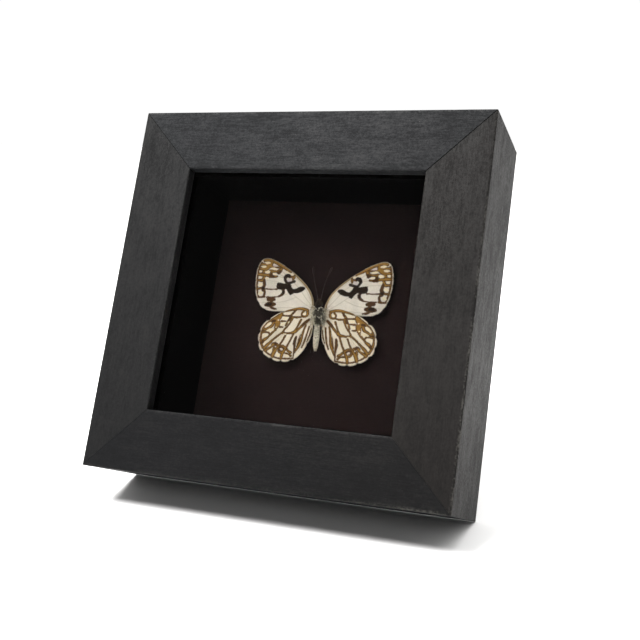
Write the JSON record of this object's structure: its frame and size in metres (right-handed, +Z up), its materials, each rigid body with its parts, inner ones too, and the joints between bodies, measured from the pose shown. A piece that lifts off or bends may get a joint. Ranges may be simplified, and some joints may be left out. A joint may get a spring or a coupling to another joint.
{
  "type": "framed butterfly specimen",
  "caption": "Square black box frame with a glazed, mounted marbled white butterfly shown underside out, leaning back on a hinged easel strut.",
  "frame": {"origin": "on the surface the frame stands on, under the middle of the whole model's box", "axes": "+X across the frame to the viewer's right, +Y from the front to the back, +Z up; the frame leans back by 24 degrees about X"},
  "size_m": [0.127, 0.0984, 0.1305],
  "materials": {
    "painted_wood": "thin black paint over open wood grain, satin, rubbed pale at the arrises",
    "glass": "clear float glass, polished",
    "black_spacer": "matt black paint",
    "mount_card": "matt dark brown-black card",
    "backboard": "matt dark pressed board",
    "strut_board": "black paper-covered board with a leather grain",
    "steel": "nickel-plated steel, slightly dulled",
    "wing_scales": "matt scaled wing membrane, cream with ochre veins and dark brown marks",
    "body_hair": "soft grey-white and brown hair",
    "limb": "dark brown chitin, slightly glossy",
    "cork": "fine-grained cork, matt"
  },
  "bodies": {
    "frame": {"rail_top": "painted_wood", "rail_bottom": "painted_wood", "rail_left": "painted_wood", "rail_right": "painted_wood", "glass_pane": "glass", "spacer_top": "black_spacer", "spacer_bottom": "black_spacer", "spacer_left": "black_spacer", "spacer_right": "black_spacer", "mount_board": "mount_card", "backboard": "backboard", "turn_button_top": "steel", "turn_button_bottom": "steel", "turn_button_left": "steel", "turn_button_right": "steel", "turn_button_screw_top": "steel", "turn_button_screw_bottom": "steel", "turn_button_screw_left": "steel", "turn_button_screw_right": "steel", "hinge_leaf_backboard": "steel", "hinge_pin": "steel", "backboard_rivet_left": "steel", "backboard_rivet_right": "steel", "butterfly_body": "body_hair", "forewing_left": "wing_scales", "forewing_right": "wing_scales", "hindwing_left": "wing_scales", "hindwing_right": "wing_scales", "antenna_left": "limb", "antenna_right": "limb", "middle_leg_left": "limb", "middle_leg_right": "limb", "hind_leg_left": "limb", "hind_leg_right": "limb", "cork_pad": "cork"},
    "strut": {"strut": "strut_board", "hinge_leaf_strut": "steel", "strut_rivet_left": "steel", "strut_rivet_right": "steel"}
  },
  "joints": [
    {"name": "strut_hinge", "type": "hinge", "parent": "frame", "child": "strut", "pos_m": [0, 0.02302, 0.08311], "axis": [1, 0, 0], "range_deg": [-38, 0]}
  ]
}
